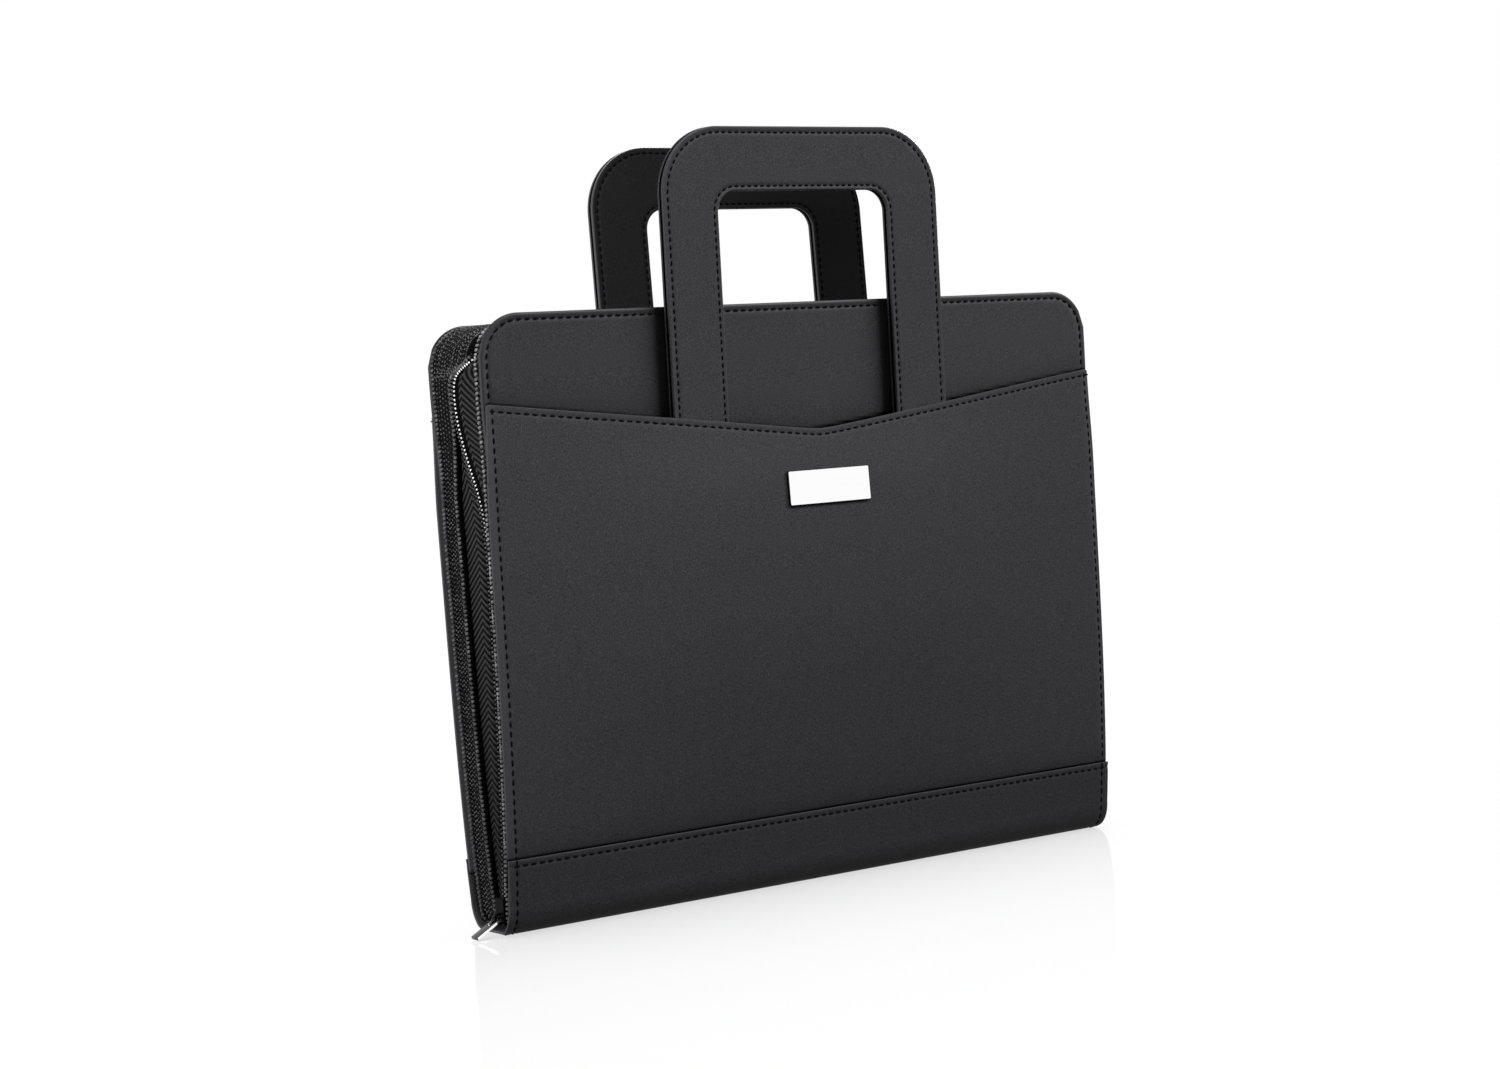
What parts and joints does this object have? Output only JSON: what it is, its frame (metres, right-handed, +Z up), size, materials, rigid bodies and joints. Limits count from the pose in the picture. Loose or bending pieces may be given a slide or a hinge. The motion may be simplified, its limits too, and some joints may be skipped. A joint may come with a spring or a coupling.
{
  "type": "document portfolio",
  "caption": "Zip-round leatherette document portfolio: a wedge-shaped case that stands on its spine, with V-mouthed outer pockets and carrying handles that slide down into them.",
  "frame": {"origin": "middle of the flat base of the spine, on the floor", "axes": "+X along the width to the right as seen from the front, +Y from the front cover to the back cover, +Z up"},
  "size_m": [0.3583, 0.0718, 0.3514],
  "materials": {
    "leatherette": "smooth matt leatherette with a fine grain",
    "woven_band": "coarse woven polyester",
    "zip_tape": "herringbone zip tape",
    "zip_coil": "nylon coil",
    "polished_metal": "polished, blank",
    "dark_metal": "black-coated zinc"
  },
  "bodies": {
    "case": {"front_cover": "leatherette", "back_cover": "leatherette", "front_pocket": "leatherette", "back_pocket": "leatherette", "spine_band": "leatherette", "name_plate": "polished_metal", "webbing": "woven_band", "zip_tape_back": "zip_tape", "zip_tape_front": "zip_tape", "zip_chain": "zip_coil", "zip_slider": "dark_metal"},
    "front_grip": {"front_handle": "leatherette"},
    "back_grip": {"back_handle": "leatherette"},
    "pull": {"zip_pull": "polished_metal"}
  },
  "joints": [
    {"name": "front_handle_slide", "type": "slide", "parent": "case", "child": "front_grip", "axis": [0, -0.0261, 0.9997], "range_m": [-0.075, 0]},
    {"name": "back_handle_slide", "type": "slide", "parent": "case", "child": "back_grip", "axis": [0, 0.0261, 0.9997], "range_m": [-0.075, 0]},
    {"name": "zip_pull_swing", "type": "hinge", "parent": "case", "child": "pull", "pos_m": [-0.173, -0.00729, 0.0077], "axis": [0, 1, 0], "range_deg": [0, 110]}
  ]
}
